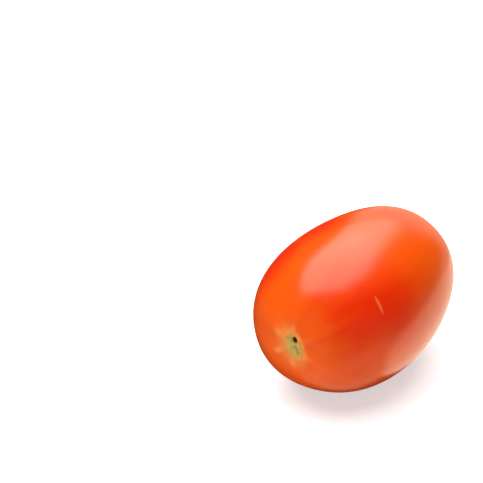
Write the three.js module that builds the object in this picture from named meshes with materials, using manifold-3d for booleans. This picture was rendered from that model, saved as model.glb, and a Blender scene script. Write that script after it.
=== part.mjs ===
// A ripe plum tomato lying on its side, modelled as the one solid that it grew as.
// Millimetres, +Z up. The fruit's own axis runs along Y, with the stem scar at the -Y end and the
// blossom end at +Y. It rests on a small flat spot in the plane Z = 0, and the origin is on that
// spot, straight below the middle of the axis.
import * as THREE from 'three';
import { mergeVertices } from 'three/addons/utils/BufferGeometryUtils.js';
import Module from 'manifold-3d';

const wasm = await Module();
wasm.setup();

// The body: its length, its mean radius at the middle, and how it departs from an ellipsoid.
const LENGTH = 74;
const GIRTH_RADIUS = 26;
const STEM_FULLNESS = 0.038; // share by which the stem half is stouter than the blossom half
const END_FULLNESS = 0.033; // share by which both ends are blunter than an ellipse's

// The seed chambers show as soft lobes round the fruit. Each share is of the radius, and each crest
// is the angle of the first high line, from +X towards +Z.
const LOBES = [
  { count: 2, share: 0.037, crest: 35.5 },
  { count: 3, share: 0.018, crest: -53 },
  { count: 5, share: 0.01, crest: 19 },
];

// The stem end: a shallow dimple, and soft folds of the shoulder that run into it. The stem had six
// leaves, so the folds and the points of the scar's outline come in sixes.
const DIMPLE_DEPTH = 1.3;
const DIMPLE_RADIUS = 7.5;
const LEAVES = 6;
const LEAF_CREST = 30; // angle of the first leaf, from +X towards +Z
const FOLD_HEIGHT = 0.22;
const FOLD_RADIUS = 9; // where the folds are highest

// The corky scar that the stem left: a raised rim round a low oval that leans towards -X at its top.
// The open end of the stem's core is a pit in it, above the middle, and a short groove runs from the
// middle to the rim. Places on the end are (x, z).
const SCAR_MIDDLE = new THREE.Vector2(0.4, 0.1);
const SCAR_RADIUS = 3.4;
const SCAR_SLIMNESS = 1.2; // how many times longer, and narrower, than round
const SCAR_LEAN = 23; // degrees
const SCAR_POINTS = 0.2; // how far the rim reaches out towards each leaf
const RIM_HEIGHT = 0.35;
const RIM_WIDTH = 0.7;
const PIT_START = new THREE.Vector2(0.35, 1.65);
const PIT_END = new THREE.Vector2(0.35, 2.1);
const PIT_RADIUS = 0.75;
const PIT_DEPTH = 1.3;
const GROOVE_START = new THREE.Vector2(0.7, -0.4);
const GROOVE_END = new THREE.Vector2(1.5, -2.1);
const GROOVE_WIDTH = 0.5;
const GROOVE_DEPTH = 0.45;

// The blossom end: a small blunt tip.
const TIP_HEIGHT = 0.9;
const TIP_RADIUS = 2.6;

// The skin gives under the fruit's weight, which leaves a flat spot this deep.
const FLAT_DEPTH = 0.6;

// Facets: segments round the fruit, and rings along it, close together on the two ends.
const SEGMENTS = 72;
const STEM_RINGS = 16;
const BODY_RINGS = 28;
const TIP_RINGS = 6;
const STEM_ZONE = 0.23; // radians from the stem pole
const TIP_ZONE = 0.16; // radians from the blossom pole
const RING_CROWDING = 0.5; // how much closer the body's rings are at its ends than in its middle

const SKIN = new THREE.MeshStandardMaterial({ color: 0xe23a0c, roughness: 0.28, metalness: 0 });

// A smooth hump that is 1 at zero and fades over the given width.
const hump = (distance, width) => Math.exp(-((distance / width) ** 2));

// A smooth ring that is 0 at the middle, 1 at the given radius, and fades outside it.
const ring = (out, radius) => (out / radius) ** 2 * Math.exp(1 - (out / radius) ** 2);

// Distance of a place from the straight line between two others.
function distanceToLine(place, start, end) {
  const line = end.clone().sub(start);
  const share = THREE.MathUtils.clamp(place.clone().sub(start).dot(line) / line.lengthSq(), 0, 1);
  return place.distanceTo(line.multiplyScalar(share).add(start));
}

// Polar angles of the rings, from the stem pole at 0 to the blossom pole at pi.
function ringAngles() {
  const span = Math.PI - STEM_ZONE - TIP_ZONE;
  const stem = Array.from({ length: STEM_RINGS }, (_, i) => (STEM_ZONE * i) / STEM_RINGS);
  const body = Array.from({ length: BODY_RINGS }, (_, i) => {
    const t = i / BODY_RINGS;
    const crowded = t - (RING_CROWDING * Math.sin(2 * Math.PI * t)) / (2 * Math.PI);
    return STEM_ZONE + span * crowded;
  });
  const tip = Array.from({ length: TIP_RINGS + 1 }, (_, i) => Math.PI - TIP_ZONE * (1 - i / TIP_RINGS));
  return [...stem, ...body, ...tip];
}

// The plain body of revolution: radius and place along the axis at a polar angle.
function bodyRadius(polar) {
  const fullness = 1 + STEM_FULLNESS * Math.cos(polar) + END_FULLNESS * Math.cos(2 * polar);
  return (GIRTH_RADIUS * Math.sin(polar) * fullness) / (1 - END_FULLNESS);
}

const bodyAlong = (polar) => (-LENGTH / 2) * Math.cos(polar);

// How far the section stands out at an angle round the fruit, as a share of the plain radius.
function lobed(around) {
  return LOBES.reduce(
    (sum, { count, share, crest }) =>
      sum + share * Math.cos(count * (around - THREE.MathUtils.degToRad(crest))),
    1,
  );
}

// Relief of the stem end: how far a point of the end moves in, towards +Y.
function stemRelief(x, z) {
  const place = new THREE.Vector2(x, z);
  const out = place.length();
  const leaf = Math.cos(LEAVES * (Math.atan2(z, x) - THREE.MathUtils.degToRad(LEAF_CREST)));
  const dimple = DIMPLE_DEPTH * hump(out, DIMPLE_RADIUS);
  const folds = FOLD_HEIGHT * leaf * ring(out, FOLD_RADIUS);
  const upright = place.clone().rotateAround(SCAR_MIDDLE, -THREE.MathUtils.degToRad(SCAR_LEAN));
  const fromMiddle = upright.sub(SCAR_MIDDLE);
  const scarOut = Math.hypot(fromMiddle.x * SCAR_SLIMNESS, fromMiddle.y / SCAR_SLIMNESS);
  const scarEdge = SCAR_RADIUS + SCAR_POINTS * leaf * ring(out, SCAR_RADIUS);
  const rim = RIM_HEIGHT * hump(scarOut - scarEdge, RIM_WIDTH);
  const pit = PIT_DEPTH * hump(distanceToLine(place, PIT_START, PIT_END) ** 2, PIT_RADIUS ** 2);
  const groove = GROOVE_DEPTH * hump(distanceToLine(place, GROOVE_START, GROOVE_END), GROOVE_WIDTH);
  return dimple + pit + groove - folds - rim;
}

// Relief of the blossom end: how far a point of the end moves out, towards +Y.
const tipRelief = (x, z) => TIP_HEIGHT * hump(Math.hypot(x, z), TIP_RADIUS);

// The whole fruit about its own axis: a lathe of the plain body, then its lobes and the two ends.
function fruitSurface() {
  const rings = ringAngles();
  const profile = rings.map((polar) => new THREE.Vector2(bodyRadius(polar), bodyAlong(polar)));
  profile[0].x = 0;
  profile[profile.length - 1].x = 0;
  const geometry = new THREE.LatheGeometry(profile, SEGMENTS);
  const position = geometry.getAttribute('position');
  for (let i = 0; i < position.count; i += 1) {
    const polar = rings[i % rings.length];
    const share = lobed(Math.atan2(position.getZ(i), position.getX(i)));
    const x = position.getX(i) * share;
    const z = position.getZ(i) * share;
    const relief = polar < Math.PI / 2 ? stemRelief(x, z) : tipRelief(x, z);
    position.setXYZ(i, x, position.getY(i) + relief, z);
  }
  return geometry;
}

// A closed geometry as a solid, with shared vertices merged and collapsed triangles left out.
function toSolid(geometry) {
  const bare = new THREE.BufferGeometry();
  bare.setAttribute('position', geometry.getAttribute('position'));
  bare.setIndex(geometry.getIndex());
  const merged = mergeVertices(bare, 1e-4);
  const corners = merged.getIndex().array;
  const kept = [];
  for (let i = 0; i < corners.length; i += 3) {
    const [a, b, c] = corners.subarray(i, i + 3);
    if (a !== b && b !== c && c !== a) kept.push(a, b, c);
  }
  return new wasm.Manifold(
    new wasm.Mesh({
      numProp: 3,
      vertProperties: merged.getAttribute('position').array,
      triVerts: new Uint32Array(kept),
    }),
  );
}

// A solid as a flat-shaded geometry.
function toGeometry(solid) {
  const { numProp, vertProperties, triVerts } = solid.getMesh();
  const shared = new THREE.BufferGeometry();
  const points = new THREE.InterleavedBuffer(vertProperties, numProp);
  shared.setAttribute('position', new THREE.InterleavedBufferAttribute(points, 3, 0));
  shared.setIndex(new THREE.BufferAttribute(triVerts, 1));
  const geometry = shared.toNonIndexed();
  geometry.computeVertexNormals();
  return geometry;
}

// The fruit with its flat spot cut, on the surface that it rests on.
function tomato() {
  const surface = fruitSurface();
  surface.computeBoundingBox();
  const floor = surface.boundingBox.min.z + FLAT_DEPTH;
  const below = new THREE.BoxGeometry(LENGTH, LENGTH, GIRTH_RADIUS);
  below.translate(0, 0, floor - GIRTH_RADIUS / 2);
  const mesh = new THREE.Mesh(toGeometry(toSolid(surface).subtract(toSolid(below))), SKIN);
  mesh.name = 'tomato';
  mesh.position.z = -floor;
  return mesh;
}

const part = new THREE.Group();
part.add(tomato());

export default part;
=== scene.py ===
"""A ripe plum tomato that lies on its side on a plain pale floor.

The fruit is one mesh, grown by a Geometry Nodes tree from the sizes of the solid that it stands for: a
lathed body with soft lobes, a dimpled stem end with its corky scar, and a small blunt tip. Lengths are in
metres and +Z is up. The fruit's own axis runs along Y, from the stem scar at -Y to the blossom end at +Y,
and the origin is on the flat spot that the fruit rests on.
"""

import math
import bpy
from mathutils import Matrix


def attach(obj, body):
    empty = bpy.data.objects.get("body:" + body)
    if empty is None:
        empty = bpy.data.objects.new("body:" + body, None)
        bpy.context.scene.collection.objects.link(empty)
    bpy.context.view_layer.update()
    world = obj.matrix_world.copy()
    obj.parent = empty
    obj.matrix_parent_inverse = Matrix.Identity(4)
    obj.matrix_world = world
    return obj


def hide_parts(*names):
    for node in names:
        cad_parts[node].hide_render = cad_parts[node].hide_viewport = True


bl_info = {
    "name": "Plum Tomato",
    "version": (1, 0, 0),
    "blender": (4, 5, 0),
    "location": "View3D > Sidebar > Tomato",
    "description": "Grows a ripe plum tomato and sets the plain stage that it lies on",
    "category": "Add Mesh",
}

import bpy
from bpy.props import FloatProperty, FloatVectorProperty, PointerProperty
from mathutils import Matrix, Vector

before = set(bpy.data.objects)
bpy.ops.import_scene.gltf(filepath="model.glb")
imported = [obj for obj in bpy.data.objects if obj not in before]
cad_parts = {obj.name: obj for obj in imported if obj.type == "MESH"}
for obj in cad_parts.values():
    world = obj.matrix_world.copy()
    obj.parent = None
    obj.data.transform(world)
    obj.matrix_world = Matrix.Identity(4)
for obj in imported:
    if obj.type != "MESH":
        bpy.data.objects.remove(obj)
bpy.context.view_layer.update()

MM = 0.001

# The seed chambers show as soft lobes: how many, their share of the radius, and the angle of one crest
# in degrees, from +X towards +Z.
LOBES = ((2, 0.037, 35.5), (3, 0.018, -53.0), (5, 0.010, 19.0))

# The stem had six leaves, so the folds of the shoulder, the points of the scar and the pale marks round
# it come in sixes. Angles on the stem end are from +X towards +Z.
LEAVES = 6
LEAF_CREST = math.radians(30)

# Places on the stem end, as (x, z): the middle of the scar, and the two ends of its pit and its groove.
SCAR_MIDDLE = (0.4 * MM, 0.1 * MM)
PIT = ((0.35 * MM, 1.65 * MM), (0.35 * MM, 2.1 * MM))
GROOVE = ((0.7 * MM, -0.4 * MM), (1.5 * MM, -2.1 * MM))

# The pale skin round the scar reaches furthest on this side, by this share more. Its leaf marks lie this
# far out, and are stronger on that side by their own share.
HALO_SIDE = math.radians(205)
HALO_LEAN = 0.6
LEAF_MARK_OUT = 5.6 * MM
LEAF_MARK_SIZE = 1.5 * MM
LEAF_MARK_LEAN = 0.4

# Places from the middle of the axis: the two ends of a nick in the near flank, and the two ends of each of
# the deep red bands with its reach: the ripest skin on the near flank, and a painted shade along the far
# shoulder's edge.
NICK = ((17.6 * MM, -20.8 * MM, 15.3 * MM), (21.1 * MM, -20.8 * MM, 9.6 * MM))
NICK_WIDTH = 0.35 * MM
NICK_POINT_WIDTH = 0.02 * MM
RIPE_AND_SHADE_BANDS = (
    ((15.0 * MM, -28.5 * MM, 10.0 * MM), (20.0 * MM, -18.0 * MM, 11.0 * MM), 14 * MM),
    # A painted shade: deep red along the far shoulder's edge, which lies in shade.
    ((-18.0 * MM, -20.0 * MM, 12.0 * MM), (-10.0 * MM, -4.0 * MM, 22.5 * MM), 8 * MM),
)

# Where the skin turns orange, as shares of the way from the stem pole to the blossom pole, how orange it
# gets at the blossom end, and how far the deep red bands, ripe skin and painted shade, hold back the orange
# at the stem end.
STEM_SIDE = (0.07, 0.24)
BLOSSOM_SIDE = (0.45, 0.95)
BLOSSOM_ORANGE = 0.5
RIPE_AND_SHADE_HOLD = 0.6

# How strongly the random patterns tell in the skin's redness and in its orange, and the range of the noise
# over which a fleck shows.
BLOTCH_RED = 0.5
STREAK_RED = 0.3
BLOTCH_ORANGE = 0.5
STREAK_ORANGE = 0.4
FLECK_ORANGE = 0.25
FLECK_RANGE = (0.6, 0.8)

# Colours of the scar: where the cork fades into the skin, in rim widths past the rim, how far inside its
# edge it counts as inner cork, how much tanner that is, and the ranges of the marks over which the tan
# cork, the pit's dark, partly a painted shade, and the tip's cork show.
CORK_FADE = (-2.0, 1.2)
INNER_CORK = (0.2 * MM, 1.4 * MM)
INNER_TAN = 0.15
TAN_RANGE = (0.48, 0.74)
PIT_SHADE_RANGE = (0.05, 0.7)
TIP_RANGE = (0.75, 0.95)

# How fully the fainter marks cover what lies below them.
# The nick's pale colour is partly dry skin and partly a painted glint along its crease.
NICK_GLINT_COVER = 0.8
LEAF_MARK_COVER = 0.8
# The groove's darkening is a painted shade.
GROOVE_SHADE = 0.3

# The finish: roughness of the skin, how far it varies, and what cork and the nick add to it.
SKIN_ROUGHNESS = 0.235
ROUGHNESS_SPREAD = 0.05
CORK_ROUGHNESS = 0.45
NICK_ROUGHNESS = 0.15
SKIN_IOR = 1.45

# How much of the light goes into the flesh, and how far it gets there, in all and for each colour.
FLESH_SHARE = 0.3
FLESH_REACH = 4 * MM
FLESH_COLOUR_REACH = (1.0, 0.2, 0.08)

# Depths of the finest relief.
PORE_DEPTH = 0.004 * MM
GRAIN_DEPTH = 0.06 * MM
NICK_DEPTH = 0.1 * MM

# Sizes of the random patterns on the fruit, and the detail of the finer ones. Streaks and fibres run along
# or out from the axis, and their first size is across, as a share of the distance from it.
WAVE_SIZE = 16 * MM
BLOTCH_SIZE = 15 * MM
STREAK_SIZE = 0.25
STREAK_LENGTH = 90 * MM
FLECK_SIZE = 0.9 * MM
PORE_SIZE = 0.6 * MM
FIBRE_SIZE = 0.22
FIBRE_LENGTH = 12 * MM
GRAIN_SIZE = 0.7 * MM
FINE_GRAIN_SIZE = GRAIN_SIZE / 3
PATCH_SIZE = 1.4 * MM
EDGE_SIZE = 1.1 * MM
FINE_DETAIL = 3.0

# The mesh: segments round the fruit, rings along it, and how far the rings crowd towards the two ends.
SEGMENTS = 300
RINGS = 240
RING_CROWDING = 0.75

SEED = 7

WHITE = (1.0, 1.0, 1.0)
BLACK = (0.0, 0.0, 0.0)

# The stage. Places are to the right of the origin, away from the camera and up. The floor reaches this far
# to each side and away, and only this far towards the camera, where the backdrop takes over.
FLOOR_REACH = 0.7
FLOOR_FRONT = 0.085
PAPER_ROUGHNESS = 0.8

# Sheets just above the floor which stand for it in the skin's gloss, and which nothing else sees: in front
# of the fruit, along its right side, and behind it. Their corners are to the right and away.
GLOW_HEIGHT = 0.1 * MM
GLOWS = (
    {
        "name": "front_glow",
        "strength": 0.6,
        "corners": (
            (-0.035, -0.055),
            (0.035, -0.055),
            (0.05, -0.035),
            (0.03, -0.03),
            (0.012, -0.02),
            (-0.02, -0.026),
        ),
    },
    {
        "name": "side_glow",
        "strength": 1.6,
        "corners": (
            (0.03, -0.03),
            (0.05, -0.03),
            (0.08, -0.015),
            (0.14, 0.03),
            (0.17, 0.1),
            (0.05, 0.1),
            (0.018, -0.005),
            (0.012, -0.02),
        ),
    },
    {
        "name": "back_glow",
        "strength": 0.7,
        "corners": ((0.03, 0.1), (0.17, 0.1), (0.3, 0.2), (0.45, 1.5), (-0.05, 1.5)),
    },
)

# The soft boxes hang level, and the cards turn to face the fruit. The two fills leave no highlight.
SOFT_BOXES = (
    {"name": "overhead", "place": (-0.22, 0.18, 0.8), "size": (1.38, 1.28), "light": 4.0, "shape": "ELLIPSE"},
    {"name": "behind", "place": (0.1, 0.62, 0.8), "size": (0.9, 0.58), "light": 2.8},
    {"name": "far", "place": (0.28, 1.2, 0.8), "size": (0.96, 0.8), "light": 2.2},
)
CARDS = (
    {"name": "back_card", "place": (0.44, 1.43, 0.3), "size": (1.06, 0.68), "light": 0.6},
    {"name": "left_fill", "place": (-0.42, -0.82, 0.1), "size": (0.9, 0.6), "light": 2.3, "in_gloss": False},
    {"name": "right_fill", "place": (0.55, -0.75, 0.05), "size": (0.9, 0.6), "light": 1.6, "in_gloss": False},
)


def length_property(name, description, millimetres):
    return FloatProperty(
        name=name, description=description, default=millimetres * MM, unit="LENGTH", subtype="DISTANCE"
    )


def share_property(name, description, share):
    return FloatProperty(name=name, description=description, default=share, subtype="FACTOR")


def angle_property(name, description, degrees):
    return FloatProperty(name=name, description=description, default=math.radians(degrees), subtype="ANGLE")


def colour_property(name, description, colour):
    return FloatVectorProperty(name=name, description=description, default=colour, subtype="COLOR", size=3)


def light_property(name, description, brightness):
    return FloatProperty(name=name, description=description, default=brightness, min=0.0)


class TomatoBody(bpy.types.PropertyGroup):
    """Sizes of the fruit's body and of its two ends."""

    length: length_property("Length", "Length of the plain body along its axis", 74)
    girth_radius: length_property("Girth Radius", "Mean radius at the middle of the body", 26)
    stem_fullness: share_property("Stem Fullness", "How much stouter the stem half is", 0.038)
    end_fullness: share_property("End Fullness", "How much blunter than an ellipse the ends are", 0.033)
    dimple_depth: length_property("Dimple Depth", "Depth of the dimple round the stem scar", 1.3)
    dimple_radius: length_property("Dimple Radius", "Radius over which the dimple fades", 7.5)
    fold_height: length_property("Fold Height", "Height of the shoulder's folds", 0.22)
    fold_radius: length_property("Fold Radius", "Distance from the axis where the folds are highest", 9)
    tip_height: length_property("Tip Height", "Height of the blunt tip at the blossom end", 0.9)
    tip_radius: length_property("Tip Radius", "Radius over which the tip fades", 2.6)
    flat_depth: length_property("Flat Depth", "How far the skin gives where the fruit rests", 0.6)
    flat_rounding: length_property("Flat Rounding", "How softly the flat spot meets the skin", 0.25)
    waviness: length_property("Waviness", "Depth of the skin's faint waves", 0.08)


class TomatoScar(bpy.types.PropertyGroup):
    """Sizes of the corky scar that the stem left."""

    scar_radius: length_property("Scar Radius", "Mean radius of the scar's rim", 3.4)
    scar_slimness: share_property("Scar Slimness", "How many times longer than round the scar is", 1.2)
    scar_lean: angle_property("Scar Lean", "How far the top of the scar leans towards -X", 23)
    scar_points: length_property("Scar Points", "How far the rim reaches out towards each leaf", 0.2)
    rim_height: length_property("Rim Height", "Height of the rim", 0.35)
    rim_width: length_property("Rim Width", "Width over which the rim fades", 0.7)
    edge_wander: length_property("Edge Wander", "How far the cork's edge wanders in and out", 0.9)
    pit_radius: length_property("Pit Radius", "Radius of the open end of the stem's core", 0.75)
    pit_depth: length_property("Pit Depth", "Depth of the open end of the stem's core", 1.3)
    groove_width: length_property("Groove Width", "Width over which the groove fades", 0.5)
    groove_depth: length_property("Groove Depth", "Depth of the groove", 0.45)
    cork_depth: length_property("Cork Depth", "Depth of the cork's fibres and grains", 0.28)
    halo_reach: length_property("Halo Reach", "How far the pale skin round the scar reaches", 2.2)


class TomatoColours(bpy.types.PropertyGroup):
    """Colours of the skin, of the scar and of its marks."""

    belly: colour_property("Belly", "Orange red of the fruit's middle", (0.75, 0.084, 0.001))
    # This deep red is the ripest skin on the near flank, and also a painted shade on the far shoulder.
    ripest_and_shade: colour_property("Ripest", "Deep red of the ripest bands", (0.72, 0.025, 0.0005))
    ends: colour_property("Ends", "Orange of the two ends", (0.86, 0.104, 0.004))
    halo: colour_property("Halo", "Pale orange skin round the scar", (0.86, 0.30, 0.055))
    leaf_mark: colour_property("Leaf Mark", "Peach skin where the leaves lay", (0.92, 0.29, 0.09))
    cork: colour_property("Cork", "Tan cork of the scar", (0.60, 0.37, 0.115))
    green: colour_property("Green", "Yellow green of the cork's edge", (0.44, 0.32, 0.045))
    # Dark brown core, deepened to near black as a painted shade in the pit and the groove.
    pit: colour_property("Pit", "Dark brown inside the stem's core", (0.060, 0.022, 0.002))
    # Pale dry skin, which also paints the glint along the nick's crease.
    nick: colour_property("Nick", "Pale dry skin in the nick", (0.90, 0.20, 0.07))
    tip: colour_property("Tip", "Brown cork of the blossom end", (0.33, 0.15, 0.035))


class TomatoStage(bpy.types.PropertyGroup):
    """The floor, the light and the camera."""

    floor: colour_property("Floor", "Colour of the plain floor", (0.65, 0.65, 0.645))
    glow: light_property("Floor Glow", "Light that the camera sees the floor give of its own", 0.55)
    sheen: colour_property("Sheen", "Warm white of the floor in the skin's gloss", (1.0, 0.84, 0.62))
    backdrop: light_property("Backdrop", "Brightness that the camera sees past the floor", 1.0)
    room: light_property("Room", "Brightness of the dim room all round", 0.02)
    azimuth: angle_property("Camera Azimuth", "Turn of the camera from the stem end towards +X", 33.7)
    elevation: angle_property("Camera Elevation", "Height of the camera above the horizon", 27)
    distance: length_property("Camera Distance", "Distance of the camera from the middle of the axis", 600)
    aside: length_property("Fruit Aside", "How far right of the picture's middle the axis is", 34.57)
    below: length_property("Fruit Below", "How far below the picture's middle the axis is", 16.43)
    picture: length_property("Picture Width", "Width of the picture at the fruit", 144.74)


class Field:
    """A value in a node tree that takes part in plain arithmetic, with one Math node for each step."""

    def __init__(self, tree, socket):
        self.tree = tree
        self.socket = socket

    def step(self, operation, *others):
        node = self.tree.nodes.new("ShaderNodeMath")
        node.operation = operation
        for slot, value in zip(node.inputs, (self, *others)):
            put(self.tree, value, slot)
        return Field(self.tree, node.outputs[0])

    def __add__(self, other):
        return self.step("ADD", other)

    def __radd__(self, other):
        return self.step("ADD", other)

    def __sub__(self, other):
        return self.step("SUBTRACT", other)

    def __rsub__(self, other):
        return -self + other

    def __mul__(self, other):
        return self.step("MULTIPLY", other)

    def __rmul__(self, other):
        return self.step("MULTIPLY", other)

    def __truediv__(self, other):
        return self.step("DIVIDE", other)

    def __neg__(self):
        return self.step("MULTIPLY", -1.0)


def put(tree, value, slot):
    """Sets a node's input to a number or colour, or links it to a field."""
    if isinstance(value, Field):
        tree.links.new(value.socket, slot)
    else:
        slot.default_value = value


def sine(angle):
    return angle.step("SINE") if isinstance(angle, Field) else math.sin(angle)


def cosine(angle):
    return angle.step("COSINE") if isinstance(angle, Field) else math.cos(angle)


def squared(value):
    return value * value


def clamped(value):
    return value.step("MAXIMUM", 0.0).step("MINIMUM", 1.0)


def length_of(*steps):
    return sum(squared(step) for step in steps).step("SQRT")


def hump(distance, width):
    """A smooth hump that is 1 at zero and fades over the given width."""
    return (-squared(distance / width)).step("EXPONENT")


def ring(out, radius):
    """A smooth ring that is 0 at the middle, 1 at the given radius, and fades outside it."""
    share = squared(out / radius)
    return share * (1.0 - share).step("EXPONENT")


def rise(value, low, high):
    """A smooth step from 0 at low to 1 at high."""
    node = value.tree.nodes.new("ShaderNodeMapRange")
    node.interpolation_type = "SMOOTHSTEP"
    for name, number in (("Value", value), ("From Min", low), ("From Max", high)):
        put(value.tree, number, node.inputs[name])
    return Field(value.tree, node.outputs["Result"])


def along_line(place, start, end):
    """The share of the way along a straight line that is nearest to a place, and its distance from there."""
    line = [b - a for a, b in zip(start, end)]
    offsets = [p - a for p, a in zip(place, start)]
    share = clamped(sum(o * d for o, d in zip(offsets, line)) / sum(d * d for d in line))
    return share, length_of(*(o - share * d for o, d in zip(offsets, line)))


def vector(x, y, z):
    """Three fields or numbers as one vector. The first is a field."""
    node = x.tree.nodes.new("ShaderNodeCombineXYZ")
    for slot, value in zip(node.inputs, (x, y, z)):
        put(x.tree, value, slot)
    return Field(x.tree, node.outputs[0])


def parts_of(tree, socket):
    """The X, Y and Z of a vector socket."""
    node = tree.nodes.new("ShaderNodeSeparateXYZ")
    tree.links.new(socket, node.inputs[0])
    return [Field(tree, output) for output in node.outputs]


def noise(place, size, detail=2.0, roughness=0.5):
    """Seeded noise from 0 to 1 over a vector field, with features of about the given size."""
    node = place.tree.nodes.new("ShaderNodeTexNoise")
    node.noise_dimensions = "4D"
    settings = {"Vector": place, "W": SEED, "Scale": 1 / size, "Detail": detail, "Roughness": roughness}
    for name, value in settings.items():
        put(place.tree, value, node.inputs[name])
    return Field(place.tree, node.outputs[0])


def lobed(around):
    """How far the section stands out at an angle round the fruit, as a share of the plain radius."""
    return 1.0 + sum(
        share * cosine(count * (around - math.radians(crest))) for count, share, crest in LOBES
    )


def body_radius(polar, girth_radius, stem_fullness, end_fullness):
    """Radius of the plain body at a polar angle, from the stem pole at 0 to the blossom pole at pi."""
    fullness = 1.0 + stem_fullness * cosine(polar) + end_fullness * cosine(2.0 * polar)
    return girth_radius * sine(polar) * fullness / (1.0 - end_fullness)


def axis_height(body):
    """How high the axis lies above the floor: the body's deepest point below it, less the flat spot."""
    turn = [math.radians(degree) for degree in range(360)]
    fullness = (body.girth_radius, body.stem_fullness, body.end_fullness)
    widest = max(body_radius(angle / 2, *fullness) for angle in turn)
    deepest = max(-lobed(angle) * math.sin(angle) for angle in turn)
    return widest * deepest - body.flat_depth


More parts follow.
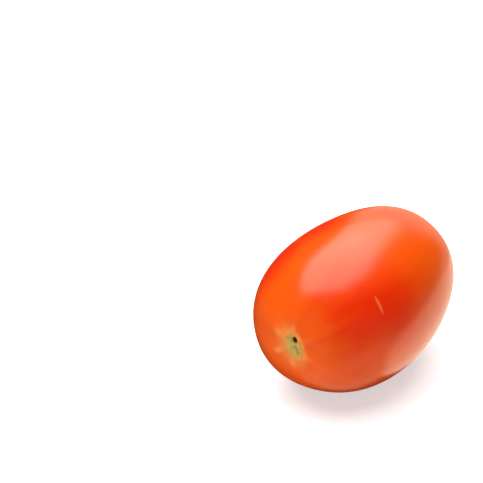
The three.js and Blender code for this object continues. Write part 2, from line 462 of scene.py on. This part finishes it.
class FruitTree:
    """The Geometry Nodes tree that grows the fruit, with a named input for each of its sizes."""

    def __init__(self, body, scar):
        self.tree = bpy.data.node_groups.new("Plum Tomato", "GeometryNodeTree")
        sizes = {"axis_height": ("Axis Height", axis_height(body))}
        for group in (body, scar):
            for key in group.__annotations__:
                sizes[key] = (group.bl_rna.properties[key].name, getattr(group, key))
        self.values = {self.add_input(name, "NodeSocketFloat"): value for name, value in sizes.values()}
        self.material_input = self.add_input("Skin", "NodeSocketMaterial")
        self.tree.interface.new_socket("Fruit", in_out="OUTPUT", socket_type="NodeSocketGeometry")
        group_input = self.tree.nodes.new("NodeGroupInput")
        self.size = {key: Field(self.tree, group_input.outputs[name]) for key, (name, _) in sizes.items()}
        self.skin = group_input.outputs["Skin"]
        self.grow()

    def add_input(self, name, kind):
        return self.tree.interface.new_socket(name, in_out="INPUT", socket_type=kind).identifier

    def node(self, kind, geometry=None):
        made = self.tree.nodes.new(kind)
        if geometry:
            self.tree.links.new(geometry, made.inputs[0])
        return made

    def store(self, geometry, name, value, kind="FLOAT", domain="POINT"):
        node = self.node("GeometryNodeStoreNamedAttribute", geometry)
        node.data_type = kind
        node.domain = domain
        put(self.tree, name, node.inputs["Name"])
        put(self.tree, value, node.inputs["Value"])
        return node.outputs[0]

    def grow(self):
        sphere = self.node("GeometryNodeMeshUVSphere")
        put(self.tree, SEGMENTS, sphere.inputs["Segments"])
        put(self.tree, RINGS, sphere.inputs["Rings"])
        put(self.tree, 1.0, sphere.inputs["Radius"])
        place, marks = self.surface()
        geometry = sphere.outputs["Mesh"]
        for name, value in marks.items():
            geometry = self.store(geometry, name, value)
        unrolled = Field(self.tree, sphere.outputs["UV Map"])
        geometry = self.store(geometry, "OFBake", unrolled, "FLOAT2", "CORNER")
        moved = self.node("GeometryNodeSetPosition", geometry)
        put(self.tree, place, moved.inputs["Position"])
        smooth = self.node("GeometryNodeSetShadeSmooth", moved.outputs[0])
        real = self.node("GeometryNodeRealizeInstances", smooth.outputs[0])
        painted = self.node("GeometryNodeSetMaterial", real.outputs[0])
        self.tree.links.new(self.skin, painted.inputs["Material"])
        group_output = self.node("NodeGroupOutput", painted.outputs[0])
        group_output.is_active_output = True

    def surface(self):
        """Where each point of the unit sphere goes on the fruit, and the marks that its colours read."""
        size = self.size
        x, y, z = parts_of(self.tree, self.node("GeometryNodeInputPosition").outputs[0])
        even = length_of(x, y).step("ARCTAN2", -z)
        polar = even - RING_CROWDING / 2 * sine(2.0 * even)
        around = (-y).step("ARCTAN2", x)
        fullness = (size["girth_radius"], size["stem_fullness"], size["end_fullness"])
        out = body_radius(polar, *fullness) * lobed(around)
        side = out * cosine(around)
        above = out * sine(around)
        along = -0.5 * size["length"] * cosine(polar)
        is_stem_half = polar.step("LESS_THAN", math.pi / 2)
        inward, marks = self.stem_end(side, above, out, around)
        tip = (1.0 - is_stem_half) * hump(out, size["tip_radius"])
        along = along + is_stem_half * inward + size["tip_height"] * tip
        # The waves only go in, by one to two times their depth, so the fruit stays inside its solid's box.
        wave = noise(vector(side, along, above), WAVE_SIZE) + 1.0
        shrink = 1.0 - size["waviness"] * wave / size["girth_radius"]
        height = above * shrink + size["axis_height"]
        resting = height.step("SMOOTH_MAX", 0.0, size["flat_rounding"])
        marks = {name: is_stem_half * mark for name, mark in marks.items()}
        marks["tip"] = tip
        marks["polar_share"] = polar / math.pi
        return vector(side * shrink, along, resting), marks

    def stem_end(self, x, z, out, around):
        """How far a point of the stem end moves in, towards +Y, and the marks of the scar."""
        size = self.size
        leaf = cosine(LEAVES * (around - LEAF_CREST))
        dimple = size["dimple_depth"] * hump(out, size["dimple_radius"])
        folds = size["fold_height"] * leaf * ring(out, size["fold_radius"])
        right, up = x - SCAR_MIDDLE[0], z - SCAR_MIDDLE[1]
        lean = size["scar_lean"]
        across = right * cosine(lean) + up * sine(lean)
        upright = up * cosine(lean) - right * sine(lean)
        scar_out = length_of(across * size["scar_slimness"], upright / size["scar_slimness"])
        points = size["scar_points"] * leaf * ring(out, size["scar_radius"])
        past_rim = scar_out - size["scar_radius"] - points
        rim = hump(past_rim, size["rim_width"])
        flat = vector(x, z, 0.0)
        past_edge = past_rim + size["edge_wander"] * (noise(flat, EDGE_SIZE) - 0.5)
        scar = 1.0 - rise(past_edge, *(widths * size["rim_width"] for widths in CORK_FADE))
        _, pit_distance = along_line((x, z), *PIT)
        pit = hump(squared(pit_distance / size["pit_radius"]), 1.0)
        _, groove_distance = along_line((x, z), *GROOVE)
        groove = hump(groove_distance, size["groove_width"])
        fibres = noise(vector(cosine(around), sine(around), out / FIBRE_LENGTH), FIBRE_SIZE, FINE_DETAIL)
        cork = 0.5 * fibres + 0.5 * noise(flat, GRAIN_SIZE, FINE_DETAIL)
        reach = size["halo_reach"] * (1.0 + HALO_LEAN * cosine(around - HALO_SIDE))
        halo = hump(past_edge.step("MAXIMUM", 0.0), reach)
        toward_leaf = squared(leaf.step("MAXIMUM", 0.0))
        leaf_side = 1.0 - LEAF_MARK_LEAN + LEAF_MARK_LEAN * cosine(around - HALO_SIDE)
        leaf_mark = leaf_side * toward_leaf * hump(out - LEAF_MARK_OUT, LEAF_MARK_SIZE)
        inward = (
            dimple
            - folds
            - size["rim_height"] * rim
            + size["pit_depth"] * pit
            + size["groove_depth"] * groove
            + size["cork_depth"] * scar * cork
        )
        marks = {"scar": scar, "pit": pit, "groove": groove, "halo": halo, "leaf_mark": leaf_mark}
        marks["patch"] = noise(flat, PATCH_SIZE)
        marks["inside"] = rise(-past_edge, *INNER_CORK)
        return inward, marks


# The marks on the mesh that the skin's material reads.
MARKS = ("scar", "pit", "groove", "halo", "leaf_mark", "patch", "inside", "tip", "polar_share")


def read_mark(tree, name):
    node = tree.nodes.new("ShaderNodeAttribute")
    node.attribute_name = name
    return Field(tree, node.outputs["Fac"])


def mix(tree, factor, first, second):
    """A colour between two others, by a factor from 0 to 1."""
    node = tree.nodes.new("ShaderNodeMix")
    node.data_type = "RGBA"
    put(tree, factor, node.inputs["Factor"])
    for slot, colour in ((node.inputs[6], first), (node.inputs[7], second)):
        put(tree, colour if isinstance(colour, Field) else (*colour, 1.0), slot)
    return Field(tree, node.outputs[2])


def skin_colour(tree, colours, mark, place, from_axis):
    """Orange red skin, deep red where it is ripest and in a painted shade along the far shoulder's edge, with
    streaks along it and fine pale flecks.
    """
    x, y, z = from_axis
    out = length_of(x, z)
    streak = noise(vector(x / out, z / out, y / STREAK_LENGTH), STREAK_SIZE, FINE_DETAIL) - 0.5
    blotch = noise(place, BLOTCH_SIZE, FINE_DETAIL) - 0.5
    fleck = rise(noise(place, FLECK_SIZE), *FLECK_RANGE)
    ripest_and_shade = 0.0
    # The second band is a painted shade, not ripe skin.
    for start, end, reach in RIPE_AND_SHADE_BANDS:
        _, distance = along_line(from_axis, start, end)
        ripest_and_shade = ripest_and_shade + hump(distance, reach)
    redness = clamped(ripest_and_shade + BLOTCH_RED * blotch + STREAK_RED * streak)
    colour = mix(tree, redness, colours.belly, colours.ripest_and_shade)
    stem_side = 1.0 - rise(mark["polar_share"], *STEM_SIDE)
    blossom_side = rise(mark["polar_share"], *BLOSSOM_SIDE)
    orange = (
        (1.0 - RIPE_AND_SHADE_HOLD * ripest_and_shade) * stem_side
        + BLOSSOM_ORANGE * blossom_side
        + FLECK_ORANGE * fleck
        - BLOTCH_ORANGE * blotch
        - STREAK_ORANGE * streak
    )
    return mix(tree, clamped(orange), colour, colours.ends)


def scar_colours(tree, colours, mark, skin):
    """The pale skin round the scar, its tan and yellow green cork, the dark pit deepened by painted shade,
    the groove darkened as painted shade, and the far end's tip.
    """
    colour = mix(tree, mark["halo"] * (0.5 + 0.5 * mark["patch"]), skin, colours.halo)
    colour = mix(tree, LEAF_MARK_COVER * mark["leaf_mark"], colour, colours.leaf_mark)
    tan = rise(mark["patch"] + INNER_TAN * mark["inside"], *TAN_RANGE)
    cork = mix(tree, tan, colours.green, colours.cork)
    colour = mix(tree, mark["scar"], colour, cork)
    # Painted shade in the groove.
    colour = mix(tree, GROOVE_SHADE * mark["groove"], colour, colours.pit)
    # The pit: dark core with painted shade in the hole.
    colour = mix(tree, rise(mark["pit"], *PIT_SHADE_RANGE), colour, colours.pit)
    return mix(tree, rise(mark["tip"], *TIP_RANGE), colour, colours.tip)


def skin_material(colours, height):
    """Glossy tomato skin with its corky scar, painted by the marks on the mesh."""
    material = bpy.data.materials.new("tomato_skin")
    material.use_nodes = True
    tree = material.node_tree
    shader = tree.nodes["Principled BSDF"]
    coordinates = tree.nodes.new("ShaderNodeTexCoord").outputs["Object"]
    place = Field(tree, coordinates)
    x, y, z = parts_of(tree, coordinates)
    from_axis = (x, y, z - height)
    mark = {name: read_mark(tree, name) for name in MARKS}
    nick_share, nick_distance = along_line(from_axis, *NICK)
    nick = hump(nick_distance, NICK_WIDTH * sine(math.pi * nick_share) + NICK_POINT_WIDTH)

    skin = skin_colour(tree, colours, mark, place, from_axis)
    # A painted glint along the nick's crease, over pale dry skin.
    skin = mix(tree, NICK_GLINT_COVER * nick, skin, colours.nick)
    put(tree, scar_colours(tree, colours, mark, skin), shader.inputs["Base Color"])

    roughness = SKIN_ROUGHNESS + ROUGHNESS_SPREAD * noise(place, BLOTCH_SIZE, FINE_DETAIL)
    roughness = roughness + CORK_ROUGHNESS * mark["scar"] + NICK_ROUGHNESS * nick
    put(tree, roughness, shader.inputs["Roughness"])
    put(tree, SKIN_IOR, shader.inputs["IOR"])
    put(tree, FLESH_SHARE, shader.inputs["Subsurface Weight"])
    put(tree, FLESH_COLOUR_REACH, shader.inputs["Subsurface Radius"])
    put(tree, FLESH_REACH, shader.inputs["Subsurface Scale"])

    bump = tree.nodes.new("ShaderNodeBump")
    put(tree, 1.0, bump.inputs["Strength"])
    put(tree, 1.0, bump.inputs["Distance"])
    pores = PORE_DEPTH * noise(place, PORE_SIZE)
    grain = GRAIN_DEPTH * mark["scar"] * noise(place, FINE_GRAIN_SIZE, FINE_DETAIL)
    put(tree, pores + grain - NICK_DEPTH * nick, bump.inputs["Height"])
    tree.links.new(bump.outputs["Normal"], shader.inputs["Normal"])
    return material


class TOMATO_OT_grow(bpy.types.Operator):
    """Grow the fruit as one mesh in place of its solid"""

    bl_idname = "tomato.grow"
    bl_label = "Grow the Tomato"

    def execute(self, context):
        scene = context.scene
        skin = skin_material(scene.tomato_colours, axis_height(scene.tomato_body))
        grown = FruitTree(scene.tomato_body, scene.tomato_scar)
        fruit = bpy.data.objects.new("tomato_fruit", bpy.data.meshes.new("tomato_fruit"))
        scene.collection.objects.link(fruit)
        modifier = fruit.modifiers.new("Plum Tomato", "NODES")
        modifier.node_group = grown.tree
        for identifier, value in grown.values.items():
            modifier[identifier] = value
        modifier[grown.material_input] = skin
        depsgraph = context.evaluated_depsgraph_get()
        mesh = bpy.data.meshes.new_from_object(
            fruit.evaluated_get(depsgraph), preserve_all_data_layers=True, depsgraph=depsgraph
        )
        if not mesh.polygons:
            raise RuntimeError("the tree grew no faces")
        fruit.modifiers.clear()
        fruit.data = mesh
        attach(fruit, "root")
        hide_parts("tomato")
        return {"FINISHED"}


def is_seen(tree):
    """1 where the camera sees a thing straight, and 0 for all light that it gives or takes."""
    return Field(tree, tree.nodes.new("ShaderNodeLightPath").outputs["Is Camera Ray"])


class TOMATO_OT_stage(bpy.types.Operator):
    """Set the pale floor, the soft light and the camera"""

    bl_idname = "tomato.stage"
    bl_label = "Set the Stage"

    def execute(self, context):
        self.scene = context.scene
        self.stage = context.scene.tomato_stage
        azimuth = self.stage.azimuth
        self.right = Vector((math.cos(azimuth), math.sin(azimuth), 0))
        self.away = Vector((-math.sin(azimuth), math.cos(azimuth), 0))
        self.up = Vector((0, 0, 1))
        self.lay_floor()
        self.light_room()
        for soft_box in SOFT_BOXES:
            self.set_light(self.up, self.right, **soft_box)
        for card in CARDS:
            facing = self.spot(*card["place"]).normalized()
            self.set_light(facing, self.up.cross(facing).normalized(), **card)
        self.place_camera(axis_height(context.scene.tomato_body) * self.up)
        self.scene.view_settings.view_transform = "Standard"
        return {"FINISHED"}

    def spot(self, right, away, up):
        return right * self.right + away * self.away + up * self.up

    def paper(self, name, colour, glow_colour, glow, lights_others):
        """Matt paper with a glow of its own, which lights other things or only shows to the camera."""
        material = bpy.data.materials.new(name)
        material.use_nodes = True
        tree = material.node_tree
        shader = tree.nodes["Principled BSDF"]
        put(tree, (*colour, 1.0), shader.inputs["Base Color"])
        put(tree, PAPER_ROUGHNESS, shader.inputs["Roughness"])
        put(tree, 0.0, shader.inputs["Specular IOR Level"])
        put(tree, (*glow_colour, 1.0), shader.inputs["Emission Color"])
        put(tree, glow if lights_others else glow * is_seen(tree), shader.inputs["Emission Strength"])
        return material

    def sheet(self, name, corners, material):
        """A flat sheet whose corners are given to the right of the origin, away from the camera and up."""
        mesh = bpy.data.meshes.new(name)
        mesh.from_pydata([self.spot(*corner) for corner in corners], [], [range(len(corners))])
        mesh.materials.append(material)
        made = bpy.data.objects.new(name, mesh)
        self.scene.collection.objects.link(made)
        return made

    def lay_floor(self):
        """A wide floor, and the sheets just above it which stand for it in the skin's gloss."""
        stage = self.stage
        edge = FLOOR_REACH
        front = -FLOOR_FRONT
        corners = [(-edge, front, 0.0), (edge, front, 0.0), (edge, edge, 0.0), (-edge, edge, 0.0)]
        paper = self.paper("floor_paper", stage.floor, WHITE, stage.glow, lights_others=False)
        floor = self.sheet("floor", corners, paper)
        floor.visible_glossy = False
        for glow in GLOWS:
            corners = [(*corner, GLOW_HEIGHT) for corner in glow["corners"]]
            material = self.paper(glow["name"], BLACK, stage.sheen, glow["strength"], lights_others=True)
            sheet = self.sheet(glow["name"], corners, material)
            sheet.visible_camera = False
            sheet.visible_diffuse = False
            sheet.visible_transmission = False
            sheet.visible_shadow = False

    def light_room(self):
        """A dim room, with a pale backdrop where the camera sees past the floor."""
        world = bpy.data.worlds.new("room")
        world.use_nodes = True
        tree = world.node_tree
        background = tree.nodes["Background"]
        put(tree, (*WHITE, 1.0), background.inputs["Color"])
        brightness = self.stage.room + (self.stage.backdrop - self.stage.room) * is_seen(tree)
        put(tree, brightness, background.inputs["Strength"])
        self.scene.world = world

    def set_light(self, back, across, name, place, size, light, shape="RECTANGLE", in_gloss=True):
        """A soft area light with its back to one direction and its width along another."""
        data = bpy.data.lights.new(name, "AREA")
        data.shape = shape
        data.size, data.size_y = size
        area = size[0] * size[1] * (math.pi / 4 if shape == "ELLIPSE" else 1.0)
        data.energy = light * math.pi * area
        lamp = bpy.data.objects.new(name, data)
        turn = turned(across, back.cross(across), back)
        lamp.matrix_world = Matrix.Translation(self.spot(*place)) @ turn
        lamp.visible_camera = False
        lamp.visible_glossy = in_gloss
        self.scene.collection.objects.link(lamp)

    def place_camera(self, middle):
        stage = self.stage
        back = math.sin(stage.elevation) * self.up - math.cos(stage.elevation) * self.away
        up = back.cross(self.right)
        place = middle + stage.distance * back - stage.aside * self.right + stage.below * up
        data = bpy.data.cameras.new("camera")
        data.lens = data.sensor_width * stage.distance / stage.picture
        camera = bpy.data.objects.new("camera", data)
        camera.matrix_world = Matrix.Translation(place) @ turned(self.right, up, back)
        self.scene.collection.objects.link(camera)
        self.scene.camera = camera


def turned(x_axis, y_axis, z_axis):
    """The rotation that takes the world's axes to these three."""
    return Matrix((x_axis, y_axis, z_axis)).transposed().to_4x4()


class TOMATO_PT_panel(bpy.types.Panel):
    """Lists the sizes, the colours and the steps of the build"""

    bl_label = "Plum Tomato"
    bl_idname = "TOMATO_PT_panel"
    bl_space_type = "VIEW_3D"
    bl_region_type = "UI"
    bl_category = "Tomato"

    def draw(self, context):
        for name in GROUPS:
            box = self.layout.box()
            group = getattr(context.scene, name)
            for key in group.__annotations__:
                box.prop(group, key)
        for operator in (TOMATO_OT_grow, TOMATO_OT_stage):
            self.layout.operator(operator.bl_idname)


GROUPS = {
    "tomato_body": TomatoBody,
    "tomato_scar": TomatoScar,
    "tomato_colours": TomatoColours,
    "tomato_stage": TomatoStage,
}
CLASSES = (*GROUPS.values(), TOMATO_OT_grow, TOMATO_OT_stage, TOMATO_PT_panel)


def register():
    for cls in CLASSES:
        bpy.utils.register_class(cls)
    for name, group in GROUPS.items():
        setattr(bpy.types.Scene, name, PointerProperty(type=group))


def unregister():
    for name in GROUPS:
        delattr(bpy.types.Scene, name)
    for cls in reversed(CLASSES):
        bpy.utils.unregister_class(cls)


def main():
    register()
    bpy.ops.tomato.grow()
    bpy.ops.tomato.stage()


if __name__ == "__main__":
    main()
